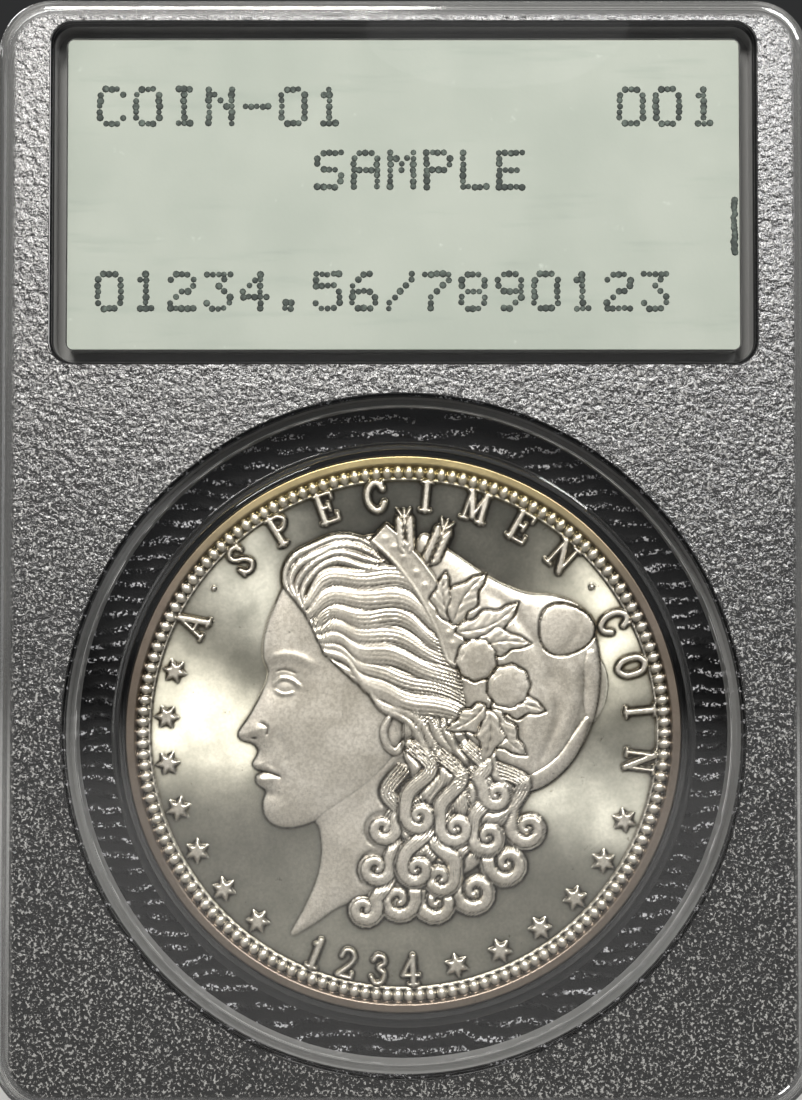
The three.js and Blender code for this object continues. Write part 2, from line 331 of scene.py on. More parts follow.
def cap(board):
    """A soft cap that bulges back from the headband, with drooping folds and a rolled tip."""
    mass(board, smooth(CAP, closed=True), 2.6, 0.27)
    for points, width, height in FOLDS:
        line(board, smooth(points), width, height)
    board.base = board.h.copy()
    strand(board, smooth([(4.8, -2.6), (6.6, -3.5), (8.8, -3.4), (11.0, -1.9), (12.6, 0.9)]), 0.55, 0.08)
    strand(board, smooth([(12.9, 1.0), (13.2, 3.4), (12.9, 5.4)]), 0.8, 0.05)
    turn = np.linspace(0, 2 * math.pi, 25)[:-1]
    tip = np.stack([11.0 + 1.9 * np.cos(turn) + 0.25 * np.cos(2 * turn), 7.1 + 1.75 * np.sin(turn)], 1)
    laid(board, tip, 0.27, 0.12, 1.5)
    line(board, smooth([(10.2, 5.2), (11.2, 6.0), (12.0, 7.4), (11.6, 8.6)]), 0.3, -0.03)


# Each fold of the cap: the points it runs through, its width and its height
FOLDS = [
    ([(4.6, 11.2), (7.2, 9.4), (9.6, 8.6)], 0.5, 0.035),
    ([(5.4, 10.4), (8.0, 7.8), (9.7, 5.2), (10.2, 2.2)], 0.55, -0.06),
    ([(6.0, 9.2), (8.0, 6.2), (8.9, 2.6), (8.2, -1.8)], 0.5, 0.045),
    ([(8.0, 4.4), (8.0, 1.0), (7.2, -2.0)], 0.45, -0.05),
    ([(10.4, 6.2), (11.4, 4.0), (11.5, 1.4), (10.2, -1.4)], 0.5, 0.05),
    ([(12.2, 4.8), (12.4, 2.4), (11.4, -0.4)], 0.4, -0.04),
    ([(10.4, 2.8), (10.2, 0.2), (9.0, -2.4)], 0.35, -0.04),
]


def laid(board, loop, level, height, width):
    """A form laid on top of what is there: level plus a dome inside its outline, and a dark groove cut
    round it."""
    i = board.part(loop, 0.4)
    d = inside(board.u[i], board.v[i], loop)
    groove = board.h[i] - 0.1 * np.clip(1 + d / 0.2, 0, 1) * (board.h[i] > 0.06)
    groove = np.maximum(groove, np.minimum(board.h[i], 0.02))
    board.h[i] = np.where(d > 0, level + height * dome(d, width), groove)
    return i, d


def hair(board):
    """Hair rolled up over the forehead, swept back in waves below the band, and falling in curls."""
    board.base = board.h.copy()
    mass(board, smooth(HAIR, closed=True), 1.4, 0.2)
    board.base = np.maximum(board.h * 0.95, 0.12)
    curls(board, CURLS[:8], 0.66, -0.03)
    locks(board, *LOCKS["behind the ear"])
    curls(board, CURLS[8:], 0.6, 0.06)
    for place in ("swept back", "over the ear", "rolled over the forehead"):
        locks(board, *LOCKS[place])


# The locks of hair: their first and last guide lines, how many there are, strands in each, height, rise
# of the back, swing of the wave, waves along one, turn from one to the next, and unevenness
LOCKS = {
    "behind the ear": (
        [(-0.4, 1.9), (0.1, -0.6), (0.4, -2.8), (-0.4, -5.0), (-0.2, -7.0), (-0.8, -9.0)],
        [(5.0, 0.6), (6.4, -2.0), (7.4, -3.8), (7.2, -5.4), (6.4, -7.0), (5.6, -8.8)],
        8, 5, 0.05, 0.08, 0.42, 2.2, 0.9, 0.03),
    "swept back": (
        [(-7.0, 8.7), (-6.5, 10.0), (-4.8, 11.2), (-1.8, 11.4), (0.9, 10.4), (3.2, 8.6)],
        [(-5.3, 5.4), (-3.7, 4.4), (-2.2, 2.8), (-0.6, 1.6), (2.0, 1.4), (5.4, -0.6)],
        7, 5, 0.06, 0.085, 0.36, 2.5, 0.35, 0.03),
    "over the ear": (
        [(-5.2, 5.3), (-3.7, 4.3), (-2.3, 3.0), (-1.0, 1.9), (1.2, 0.9), (3.6, -1.6)],
        [(-3.6, 3.9), (-2.6, 3.0), (-1.7, 2.0), (-0.4, 0.9), (1.2, -0.8), (2.6, -3.4)],
        2, 5, 0.05, 0.08, 0.24, 2.2, 0.4, 0.02),
    "rolled over the forehead": (
        [(-7.2, 8.6), (-8.2, 10.3), (-7.6, 12.4), (-5.4, 13.5), (-3.0, 13.3), (-1.4, 13.0)],
        [(-6.6, 8.2), (-6.7, 9.8), (-6.0, 10.9), (-4.6, 11.4), (-2.8, 11.3), (-0.6, 11.0)],
        4, 5, 0.06, 0.09, 0.26, 1.9, 0.6, 0.03),
}


def curls(board, shapes, width, lift):
    """Curls of one width, each with its own tail, centre, radius and turn."""
    for tail, centre, radius, start, way in shapes:
        path = spiral(centre, radius, 1.3, start, way, tail)
        curl(board, path, width, 0.12, 5, lift)


# Each curl: the points of its wavy tail, its centre and radius, the angle where the tail joins, its turn
CURLS = [
    ([(6.2, -2.4), (8.2, -3.4), (7.4, -5.0)], (8.5, -6.5), 1.2, 165, 1),
    ([(5.2, -3.0), (6.8, -5.0), (5.8, -7.0)], (7.1, -8.9), 1.35, 170, 1),
    ([(4.0, -4.4), (5.0, -6.6), (3.6, -8.4)], (4.9, -10.8), 1.4, 165, 1),
    ([(2.6, -4.0), (3.0, -6.8), (1.4, -8.8)], (2.3, -11.5), 1.3, 165, 1),
    ([(1.0, -4.0), (-0.2, -6.6), (0.9, -8.8)], (-0.4, -11.4), 1.3, 25, -1),
    ([(0.0, -7.0), (-0.9, -8.4), (-1.0, -10.0)], (-2.7, -12.0), 1.0, 40, -1),
    ([(0.2, -4.6), (-1.0, -6.2), (-0.6, -7.6)], (-1.9, -9.2), 1.15, 30, -1),
    ([(0.0, -2.4), (-1.1, -4.0), (-0.3, -5.2)], (-1.4, -6.5), 1.0, 30, -1),
    ([(3.0, -5.6), (2.2, -7.4), (3.4, -8.6)], (2.5, -9.9), 1.05, 20, -1),
    ([(0.8, -4.6), (1.8, -6.4), (0.3, -8.0)], (0.9, -9.3), 1.05, 160, 1),
    ([(4.6, -2.6), (6.0, -4.0), (4.9, -5.6)], (5.8, -7.1), 1.15, 160, 1),
    ([(2.4, -1.4), (4.0, -3.0), (2.6, -4.8)], (3.6, -6.5), 1.15, 160, 1),
    ([(0.4, -0.8), (1.9, -2.4), (0.4, -4.0)], (1.1, -5.7), 1.05, 160, 1),
    ([(4.2, -0.8), (5.6, -2.2), (5.2, -3.0)], (6.4, -4.2), 0.95, 160, 1),
]


def band(board):
    """The plain headband: a flat strip 1.8 mm wide, with raised edges and a row of dots."""
    path = smooth([(-1.9, 13.9), (-0.2, 12.3), (1.5, 10.1), (2.9, 7.4), (3.6, 5.4)])
    i = board.part(path, 1.2)
    d, t = to_path(board.u[i], board.v[i], path)
    level = 0.33 + 0.035 * np.exp(-(((d - 0.72) / 0.1) ** 2))
    edge = np.clip((0.9 - d) / 0.1, 0, 1) * np.clip((t - 0.015) / 0.01, 0, 1)
    board.h[i] = np.where(edge > 0, board.h[i] * (1 - edge) + level * edge, board.h[i])
    board.base = board.h.copy()
    for s in np.linspace(0.1, 0.92, 9):
        bump(board, path[int(s * (len(path) - 1))], (0.2, 0.2), 0.05)


def leaf(board, root, tip, width, height, bend, lobes=5.0):
    """A pointed leaf: its half width is a half sine along the spine, waved by a finer sine, with a groove
    along its middle and veins to the sides. The spine bends by a half sine too."""
    root, tip = np.asarray(root, float), np.asarray(tip, float)
    along = tip - root
    side = np.array([-along[1], along[0]])
    t = np.linspace(0, 1, 25)[:, None]
    spine = root + along * t + side * bend * np.sin(math.pi * t)
    half = width * np.sin(math.pi * t**0.8) * (1 + 0.2 * np.sin(lobes * math.pi * t))
    unit = side / np.hypot(*side)
    loop = np.vstack([spine + unit * half, (spine - unit * half)[::-1]])
    i, d = laid(board, loop, 0.31, height, width * 0.7)
    m, share = to_path(board.u[i], board.v[i], spine)
    veins = 0.012 * np.sin(2 * math.pi * (5 * share - 1.6 * m / width)) * (d > 0.08)
    board.h[i] += np.where(d > 0, veins - 0.05 * np.exp(-((m / 0.1) ** 2)), 0)


def wheat(board, root, tip, grains=5):
    """An ear of grain: two rows of pointed grains on a stem, with beards above."""
    root, tip = np.asarray(root, float), np.asarray(tip, float)
    along = tip - root
    side = np.array([-along[1], along[0]]) / np.hypot(*along)
    strand(board, smooth([root - 0.5 * along, root, tip]), 0.14, 0.2, 0.06, taper=0.3, free=True)
    for k in range(grains):
        c = root + along * (0.05 + 0.8 * k / grains)
        for s in (-1, 1):
            a = c + side * s * 0.16
            b = a + along / grains * 1.5 + side * s * 0.3
            grain = np.array([a, (a + b) / 2 + side * s * 0.07, b])
            strand(board, grain, 0.27, 0.3, 0.1, taper=0.8, free=True)
    for s in (-0.5, 0, 0.5):
        beard = np.array([tip - 0.1 * along, tip + 0.2 * along + side * s])
        strand(board, beard, 0.1, 0.16, 0.05, taper=0.8, free=True)


def boll(board, centre, radius, turn):
    """A cotton boll: a round tuft in a cup of three pointed sepals that reach half way up it."""
    c = np.asarray(centre, float)
    a = math.radians(turn)
    up = np.array([math.cos(a), math.sin(a)])
    right = np.array([math.sin(a), -math.cos(a)])
    ring = np.linspace(0, 2 * math.pi, 33)[:-1, None]
    tuft = c + radius * (np.cos(ring) * right + np.sin(ring) * up * 1.05) * (1 + 0.04 * np.cos(9 * ring))
    laid(board, tuft, 0.3, 0.15, radius * 0.9)
    for k in range(14):
        off = 0.62 * math.sqrt(k / 14) * np.array([math.cos(2.4 * k), math.sin(2.4 * k)])
        bump(board, c + radius * off + 0.2 * radius * up, (0.17 * radius, 0.17 * radius), 0.035)
    for s in (-0.8, 0, 0.8):
        base = c - radius * 0.98 * up
        tip = c + radius * (0.15 * up + 0.75 * s * right)
        sepal = smooth([base, base + 0.5 * (tip - base) + 0.25 * s * radius * right, tip])
        strand(board, sepal, 0.24 * radius, 0.07, 0.39, taper=0.7, free=True)


def wreath(board):
    """Two ears of grain, leaves and two bolls, tucked behind the headband."""
    wheat(board, (0.2, 12.2), (0.05, 14.9))
    wheat(board, (1.7, 11.5), (2.85, 14.1))
    for root, tip, width, bend in LEAVES:
        leaf(board, root, tip, width, 0.08, bend)
    boll(board, (5.0, 5.0), 1.35, 75)
    boll(board, (7.2, 3.2), 1.4, 50)


# Each leaf: where it grows from, its tip, its half width and its bend
LEAVES = [
    ((3.2, 7.6), (2.9, 11.0), 0.75, 0.1),
    ((3.4, 7.4), (5.7, 10.9), 0.9, 0.1),
    ((3.6, 6.9), (7.9, 8.9), 0.95, -0.12),
    ((4.6, 5.6), (8.7, 6.1), 0.85, 0.1),
    ((6.0, 1.8), (9.7, 1.5), 0.9, 0.1),
    ((6.0, 1.6), (8.4, -1.5), 0.9, -0.1),
    ((5.8, 1.6), (5.4, -2.0), 0.85, 0.1),
    ((5.6, 1.9), (3.0, 0.2), 0.75, 0.1),
]


# Capital letters and digits as strokes in a box 1 high: (points, thickness, smooth curve or not)
THICK, THIN = 0.1, 0.055
GLYPHS = {
    "A": [([(0.1, 0), (0.47, 1)], THIN, 0), ([(0.47, 1), (0.86, 0)], THICK, 0),
          ([(0.26, 0.36), (0.7, 0.36)], THIN, 0), ([(-0.02, 0), (0.26, 0)], THIN, 0),
          ([(0.68, 0), (1.02, 0)], THIN, 0)],
    "C": [([(0.84, 0.74), (0.66, 0.96), (0.4, 0.97), (0.15, 0.7), (0.15, 0.3), (0.4, 0.03), (0.68, 0.05),
            (0.86, 0.26)], THICK, 1), ([(0.84, 1), (0.84, 0.72)], THIN, 0)],
    "E": [([(0.24, 0), (0.24, 1)], THICK, 0), ([(0.08, 1), (0.84, 1), (0.84, 0.8)], THIN, 0),
          ([(0.24, 0.52), (0.62, 0.52)], THIN, 0), ([(0.62, 0.64), (0.62, 0.4)], THIN, 0),
          ([(0.08, 0), (0.88, 0), (0.88, 0.22)], THIN, 0)],
    "I": [([(0.5, 0), (0.5, 1)], THICK, 0), ([(0.28, 0), (0.72, 0)], THIN, 0),
          ([(0.28, 1), (0.72, 1)], THIN, 0)],
    "M": [([(0.12, 0), (0.16, 1)], THIN, 0), ([(0.16, 1), (0.5, 0.12)], THICK, 0),
          ([(0.5, 0.12), (0.88, 1)], THIN, 0), ([(0.88, 1), (0.9, 0)], THICK, 0),
          ([(-0.02, 0), (0.28, 0)], THIN, 0), ([(0.72, 0), (1.06, 0)], THIN, 0),
          ([(0, 1), (0.2, 1)], THIN, 0), ([(0.86, 1), (1.06, 1)], THIN, 0)],
    "N": [([(0.16, 0), (0.16, 1)], THIN, 0), ([(0.16, 1), (0.84, 0)], THICK, 0),
          ([(0.84, 0), (0.84, 1)], THIN, 0), ([(0.02, 0), (0.32, 0)], THIN, 0),
          ([(0, 1), (0.2, 1)], THIN, 0), ([(0.68, 1), (1, 1)], THIN, 0)],
    "O": [([(0.5, 1), (0.2, 0.82), (0.13, 0.5), (0.2, 0.18), (0.5, 0), (0.8, 0.18), (0.87, 0.5), (0.8, 0.82),
            (0.5, 1)], THICK, 1)],
    "P": [([(0.24, 0), (0.24, 1)], THICK, 0),
          ([(0.24, 0.98), (0.62, 0.96), (0.84, 0.76), (0.62, 0.52), (0.24, 0.5)], 0.065, 1),
          ([(0.06, 0), (0.44, 0)], THIN, 0), ([(0.06, 1), (0.3, 1)], THIN, 0)],
    "S": [([(0.8, 0.78), (0.68, 0.96), (0.42, 0.98), (0.2, 0.8), (0.3, 0.6), (0.66, 0.42), (0.8, 0.2),
            (0.6, 0.02), (0.32, 0.03), (0.16, 0.24)], 0.075, 1),
          ([(0.8, 1), (0.8, 0.74)], THIN, 0), ([(0.16, 0), (0.16, 0.27)], THIN, 0)],
    "1": [([(0.5, 0), (0.5, 1)], THICK, 0), ([(0.5, 1), (0.3, 0.8)], THIN, 0),
          ([(0.26, 0), (0.74, 0)], THIN, 0)],
    "2": [([(0.2, 0.72), (0.32, 0.96), (0.6, 0.98), (0.8, 0.76), (0.66, 0.48), (0.36, 0.2), (0.18, 0.04)],
           0.07, 1), ([(0.18, 0.03), (0.84, 0.03), (0.84, 0.2)], 0.06, 0)],
    "3": [([(0.22, 0.8), (0.4, 0.98), (0.68, 0.94), (0.76, 0.74), (0.5, 0.54), (0.8, 0.36), (0.72, 0.06),
            (0.4, 0.0), (0.2, 0.2)], 0.07, 1)],
    "4": [([(0.62, 0), (0.62, 1)], THICK, 0), ([(0.62, 1), (0.14, 0.32), (0.9, 0.32)], THIN, 0),
          ([(0.42, 0), (0.82, 0)], THIN, 0)],
}


def letter(board, character, centre, up, size, width=0.78, height=0.17):
    """Raises one letter: flat on top, with sides that slope over 0.1 mm. up is the direction of its top."""
    up = np.asarray(up, float)
    right = np.array([up[1], -up[0]])
    for points, thick, curved in GLYPHS[character]:
        p = np.asarray(points, float) - (0.5, 0.5)
        p = p[:, :1] * right * size * width + p[:, 1:] * up * size + np.asarray(centre)
        path = smooth(p, steps=5) if curved else p
        i = board.part(path, 0.5)
        d, _ = to_path(board.u[i], board.v[i], path)
        raised = height * np.clip((thick * size + 0.05 - d) / 0.1, 0, 1)
        board.h[i] = np.maximum(board.h[i], raised)


def round_text(board, text, angles, radius, size, outward=True):
    """Letters at the given angles round the coin, with their tops outwards, or inwards at the bottom."""
    for character, degrees in zip(text, angles):
        a = math.radians(degrees)
        out = np.array([math.cos(a), math.sin(a)])
        letter(board, character, out * radius, out if outward else -out, size)


def star(board, centre, radius, turn, height=0.15):
    """A six-pointed star: two triangles laid over each other, with sides that slope up over a fifth of its
    radius."""
    i = board.part(np.array([centre]), radius + 0.1)
    x, y = board.u[i] - centre[0], board.v[i] - centre[1]
    best = np.full(x.shape, -1e9)
    for flip in (0, 60):
        edges = [math.radians(turn + flip + 60 + 120 * k) for k in range(3)]
        triangle = np.min([radius / 2 - x * math.cos(a) - y * math.sin(a) for a in edges], axis=0)
        best = np.maximum(best, triangle)
    board.h[i] = np.maximum(board.h[i], height * np.clip(best / (0.2 * radius), 0, 1))


def border(board):
    """A flat raised rim, a ring of beads inside it, each like half an egg laid along the radius, and a fine
    ridge inside the beads."""
    r = np.hypot(board.u, board.v)
    turn = np.arctan2(board.v, board.u) * BEADS / (2 * math.pi)
    across = (turn - np.round(turn)) * 2 * math.pi * r / BEADS
    centre = COIN_R - 1.12
    d = np.hypot(across / 0.37, (r - centre) / 0.46)
    board.h = np.maximum(board.h, 0.24 * np.sqrt(np.clip(1 - d * d, 0, 1)))
    ridge = 1 - abs(r - (centre - 0.5)) / 0.1
    board.h = np.maximum(board.h, 0.07 * np.clip(ridge, 0, 1))
    board.h = np.maximum(board.h, FIELD * np.clip((r - (COIN_R - 0.78)) / 0.16, 0, 1))


def obverse_letters(board):
    """Seven stars up the left side and six up the right, the words round the top and the year below."""
    left = 165 + 11.2 * np.arange(7)
    right = 338.4 - 11.1 * np.arange(6)
    for degrees in (*left, *right):
        a = math.radians(degrees)
        star(board, (STAR_RING * math.cos(a), STAR_RING * math.sin(a)), 0.92, degrees)
    round_text(board, "A", [152.7], LETTER_RING, 1.95)
    round_text(board, "SPECIMEN", 133.3 - 12.2 * np.arange(8), LETTER_RING, 1.95)
    round_text(board, "COIN", [27.7, 16.2, 5.2, -6.8], LETTER_RING, 1.95)
    for degrees in (142.8, 37.7):
        a = math.radians(degrees)
        star(board, (0.86 * COIN_R * math.cos(a), 0.86 * COIN_R * math.sin(a)), 0.26, degrees, 0.1)
    round_text(board, "1234", [248.3, 256.1, 263.9, 271.7], DATE_RING, 1.9, outward=False)


def obverse(board):
    """The front of the coin: head, letters, stars, beads and rim."""
    head(board)
    ear(board)
    cap(board)
    hair(board)
    band(board)
    wreath(board)
    over = np.maximum(board.h - FULL_HEIGHT, 0)  # the highest forms are flattened, to stay below the rim
    board.h = 0.86 * (np.minimum(board.h, FULL_HEIGHT) + 0.1 * (1 - np.exp(-over / 0.1)))
    obverse_letters(board)
    border(board)


def reverse(board):
    """The back: two branches of leaves round two short words, with a star above."""
    for s in (-1, 1):
        stem = np.array([(s * 12.2 * math.sin(a), -12.2 * math.cos(a)) for a in np.linspace(0.12, 2.5, 24)])
        strand(board, stem, 0.22, 0.2, 0.02, taper=0.4, free=True)
        for k in range(3, 23, 2):
            root = stem[k]
            out = root / np.hypot(*root)
            onward = stem[k + 1] - stem[k - 1]
            onward = onward / np.hypot(*onward)
            for side in (1, -1):
                leaf(board, root, root + 2.2 * onward + side * 1.4 * out, 0.6, 0.09, 0.1 * side, 0)
    star(board, (0, 12.6), 1.7, 90, 0.2)
    for text, v in (("ONE", 2.6), ("COIN", -2.9)):
        for k, character in enumerate(text):
            letter(board, character, ((k - (len(text) - 1) / 2) * 3.4, v), (0, 1), 3.6)
    border(board)

# ---------------------------------------------------------------- meshes


def new_piece(name, points, faces, material):
    """A smooth-shaded mesh object at the origin from points in millimetres and arrays of faces, one row of
    corners each."""
    mesh = bpy.data.meshes.new(name)
    mesh.vertices.add(len(points))
    mesh.vertices.foreach_set("co", (np.asarray(points) * MM).astype(np.float32).ravel())
    sizes = np.concatenate([np.full(len(f), np.shape(f)[1]) for f in faces])
    corners = np.concatenate([np.asarray(f).ravel() for f in faces])
    mesh.loops.add(len(corners))
    mesh.polygons.add(len(sizes))
    mesh.loops.foreach_set("vertex_index", corners.astype(np.int32))
    mesh.polygons.foreach_set("loop_start", (np.cumsum(sizes) - sizes).astype(np.int32))
    mesh.polygons.foreach_set("use_smooth", np.full(len(sizes), True))
    mesh.update(calc_edges=True)
    mesh.materials.append(material)
    piece = bpy.data.objects.new(name, mesh)
    bpy.context.scene.collection.objects.link(piece)
    return piece


def attribute(piece, name, values):
    """Stores one number per vertex, for the piece's material to read."""
    layer = piece.data.attributes.new(name, "FLOAT", "POINT")
    layer.data.foreach_set("value", np.asarray(values, np.float32))


def disc_grid(radius, rings):
    """Points that fill a disc evenly: ring k of the square grid becomes the circle of radius k / rings
    of the whole, with its 8 k points at equal angles. Returns u, v and the quads."""
    i, j = np.meshgrid(np.arange(-rings, rings + 1), np.arange(-rings, rings + 1))
    k = np.maximum(abs(i), abs(j))
    q = np.maximum(k, 1)
    quarter = math.pi / 4
    angle = np.where(abs(i) >= abs(j), quarter * j / q, quarter * (2 - i / q))
    angle = np.where((i < 0) & (abs(i) >= abs(j)), quarter * (4 - j / q), angle)
    angle = np.where((j < 0) & (abs(j) > abs(i)), quarter * (6 + i / q), angle)
    r = radius * k / rings
    n = 2 * rings + 1
    a = (np.arange(n - 1)[:, None] * n + np.arange(n - 1)).ravel()
    quads = np.stack([a, a + 1, a + n + 1, a + n], 1)
    return (r * np.cos(angle)).ravel(), (r * np.sin(angle)).ravel(), quads


def disc_rim(rings):
    """Indices of disc_grid's outermost ring, in order of angle from 0."""
    n = 2 * rings + 1
    grid = np.arange(n * n).reshape(n, n)
    right, top = grid[:, -1], grid[-1, ::-1]
    left, bottom = grid[::-1, 0], grid[0]
    loop = np.concatenate([right[:-1], top[:-1], left[:-1], bottom[:-1]])
    return np.roll(loop, -rings)


def soften(height, reach):
    """The grid averaged over a square of 2 * reach + 1 points a side, by running sums, twice."""
    for _ in range(2):
        for axis in (0, 1):
            pad = [(0, 0), (0, 0)]
            pad[axis] = (reach + 1, reach)
            total = np.cumsum(np.pad(height, pad, mode="edge"), axis=axis)
            n = 2 * reach + 1
            if axis == 0:
                height = (total[n:] - total[:-n]) / n
            else:
                height = (total[:, n:] - total[:, :-n]) / n
    return height


def struck_points(board, u, v, side):
    """Points and normals of a struck face: its distance from the coin's middle plane is the field's plus
    the relief. side is -1 for the front, where u is x, and 1 for the back, where u is -x."""
    b = -side * u
    rise, slope = np.gradient(board.h * CRISP, board.step)
    depth = COIN_HALF - FIELD + board.at(b, v)
    normals = np.stack([side * board.at(b, v, slope), np.full_like(u, side), -board.at(b, v, rise)], 1)
    normals /= np.linalg.norm(normals, axis=1)[:, None]
    return np.stack([u, side * depth, v + COIN_Z], 1), normals


def finish_coin(piece, board, u, v, side, normals):
    """Gives a coin piece its normals and, per vertex, how far it is raised and how deep in a hollow, which
    the silver darkens as toning and painted shade.
    """
    piece.data.normals_split_custom_set_from_vertices(normals.tolist())
    count = len(piece.data.vertices) - len(u)
    near = soften(board.h, max(1, int(0.12 / board.step)))
    far = soften(board.h, int(0.5 / board.step))
    # hollow: how far a point lies below its surroundings; the silver darkens it, partly as toning and partly
    # as painted shade in recesses
    hollow = 0.7 * np.clip((near - board.h) / 0.016, 0, 1) + 0.6 * np.clip((far - board.h) / 0.07, 0, 1)
    for name, grid in (("struck", np.clip(board.h / 0.05, 0, 1)), ("hollow", np.clip(hollow, 0, 1))):
        values = board.at(-side * u, v, grid)
        attribute(piece, name, np.concatenate([values, np.full(count, 0.3)]))


def coin_centre(name, board, radius, rings, side, material):
    """The struck face within a radius, on a disc grid, with a wall down to the coin's middle plane and
    a flat floor there."""
    u, v, quads = disc_grid(radius, rings)
    struck, normals = struck_points(board, u, v, side)
    rim = disc_rim(rings)
    low = struck[rim] * (1, 0, 1)
    points = np.concatenate([struck, low, [[0, 0, COIN_Z]]])
    j = np.arange(len(rim))
    after = np.roll(j, -1)
    wall = np.stack([rim, len(u) + j, len(u) + after, rim[after]], 1)
    fan = np.stack([len(u) + j, np.full_like(j, len(points) - 1), len(u) + after], 1)
    quads = np.concatenate([quads, wall])
    piece = new_piece(name, points, outwards([quads, fan], side), material)
    finish_coin(piece, board, u, v, side, np.concatenate([normals, np.zeros((len(j) + 1, 3))]))
    return piece


def outwards(faces, side):
    """The faces of the front as they are, and those of the back turned round."""
    return faces if side < 0 else [f[:, ::-1] for f in faces]


def coin_round(name, board, inner, rings, side, material):
    """The struck face from a radius outwards, the rounded shoulder, the reeded edge and half of the middle
    plane. It is rows of points at equal angles that close into a loop. Past the flat rim each row's radius
    and depth follow a quarter round and then the edge, where the radius swings in once for each reed."""
    n = 8 * rings
    flat = COIN_R - SHOULDER
    angle = np.arange(n) * 2 * math.pi / n
    radii = np.linspace(inner, flat, int((flat - inner) * n / (2 * math.pi * 16.5)))
    r, a = (x.ravel() for x in np.meshgrid(radii, angle, indexing="ij"))
    u, v = r * np.cos(a), r * np.sin(a)
    struck, struck_normals = struck_points(board, u, v, side)
    points, normals = [struck], [struck_normals]
    reed = REED_DEPTH * (0.5 + 0.5 * np.cos(REEDS * angle)) ** 0.7
    rows = [(flat + SHOULDER * math.sin(b), COIN_HALF - SHOULDER * (1 - math.cos(b)), b, 0)
            for b in (0.4, 0.8, 1.2, 1.57)]
    rows += [(COIN_R, COIN_HALF - 0.24, 1.57, 1), (COIN_R, 0.0, 1.57, 1), (inner, 0.0, 0, 0)]
    for radius, y, lean, cut in rows:
        rim = radius - reed * cut
        points.append(np.stack([rim * np.cos(angle), np.full(n, side * y), rim * np.sin(angle) + COIN_Z], 1))
        out = math.sin(lean)
        level = np.full(n, side * math.cos(lean))
        normals.append(np.stack([out * np.cos(angle), level, out * np.sin(angle)], 1))
    normals[-1] *= 0
    points, normals = np.concatenate(points), np.concatenate(normals)
    grid = np.arange(len(points)).reshape(-1, n)
    onward = np.roll(grid, -1, axis=0)
    corners = [grid, onward, np.roll(onward, -1, axis=1), np.roll(grid, -1, axis=1)]
    quads = np.stack(corners, 2).reshape(-1, 4)
    piece = new_piece(name, points, outwards([quads], side), material)
    finish_coin(piece, board, u, v, side, normals)
    return piece


# ---------------------------------------------------------------- materials

PLASTIC_IOR = 1.58


class Graph:
    """A material's node tree, with a short call that adds a node and sets or links its inputs."""

    def __init__(self, name):
        self.material = bpy.data.materials.new(name)
        self.material.use_nodes = True
        self.tree = self.material.node_tree
        self.tree.nodes.clear()
        self.coords = self.add("ShaderNodeTexCoord").outputs["Object"]

    def add(self, kind, settings=None, **inputs):
        """A new node with its settings and, by name with _ for a space, its inputs."""
        node = self.tree.nodes.new(kind)
        for key, value in (settings or {}).items():
            setattr(node, key, value)
        for key, value in inputs.items():
            self.join(node.inputs[key.replace("_", " ")], value)
        return node

    def join(self, socket, value):
        """Links an output to the socket, or sets the socket to a constant."""
        if isinstance(value, bpy.types.NodeSocket):
            self.tree.links.new(value, socket)
        else:
            socket.default_value = value

    def maths(self, operation, a, b):
        node = self.add("ShaderNodeMath", {"operation": operation})
        for socket, value in zip(node.inputs, (a, b)):
            self.join(socket, value)
        return node.outputs[0]

    def product(self, *values):
        """All of the values multiplied together."""
        result = values[0]
        for value in values[1:]:
            result = self.maths("MULTIPLY", result, value)
        return result

    def vector(self, operation, a, b=(0, 0, 0)):
        node = self.add("ShaderNodeVectorMath", {"operation": operation})
        for socket, value in zip(node.inputs, (a, b)):
            self.join(socket, value)
        return node.outputs["Value" if operation == "LENGTH" else "Vector"]

    def ramp(self, value, low, high, to_low=0.0, to_high=1.0):
        """A smooth step from one number to another as the value goes from low to high."""
        node = self.add("ShaderNodeMapRange", {"interpolation_type": "SMOOTHSTEP"}, Value=value)
        for key, number in (("From Min", low), ("From Max", high), ("To Min", to_low), ("To Max", to_high)):
            node.inputs[key].default_value = number
        return node.outputs["Result"]

    def noise(self, scale, detail=2.0, roughness=0.5, at=None):
        """Cloudy noise from 0 to 1, with scale patches to the metre."""
        return self.add("ShaderNodeTexNoise", Vector=self.coords if at is None else at, Scale=scale,
                        Detail=detail, Roughness=roughness).outputs[0]

    def stretched(self, x, y, z):
        """Object coordinates times a different number along each axis."""
        return self.vector("MULTIPLY", self.coords, (x, y, z))

    def mix(self, share, a, b):
        """A colour that goes from a to b as the share goes from 0 to 1."""
        node = self.add("ShaderNodeMix", {"data_type": "RGBA"})
        self.join(node.inputs[0], share)
        self.join(node.inputs[6], a)
        self.join(node.inputs[7], b)
        return node.outputs[2]

    def bump(self, height, depth, strength=1.0):
        return self.add("ShaderNodeBump", Height=height, Distance=depth, Strength=strength).outputs[0]

    def shader(self, **inputs):
        return self.add("ShaderNodeBsdfPrincipled", **inputs).outputs[0]

    def blend(self, share, a, b):
        """A shader that goes from a to b as the share goes from 0 to 1."""
        node = self.add("ShaderNodeMixShader")
        for socket, value in zip(node.inputs, (share, a, b)):
            self.join(socket, value)
        return node.outputs[0]

    def finish(self, shader):
        """Joins the shader to the material's output and gives the material."""
        self.tree.links.new(shader, self.add("ShaderNodeOutputMaterial").inputs["Surface"])
        return self.material


def rgb(r, g, b):
    """A colour from its sRGB values out of 255, as the linear numbers that a shader takes."""
    return tuple((c / 255) ** 2.2 for c in (r, g, b)) + (1.0,)


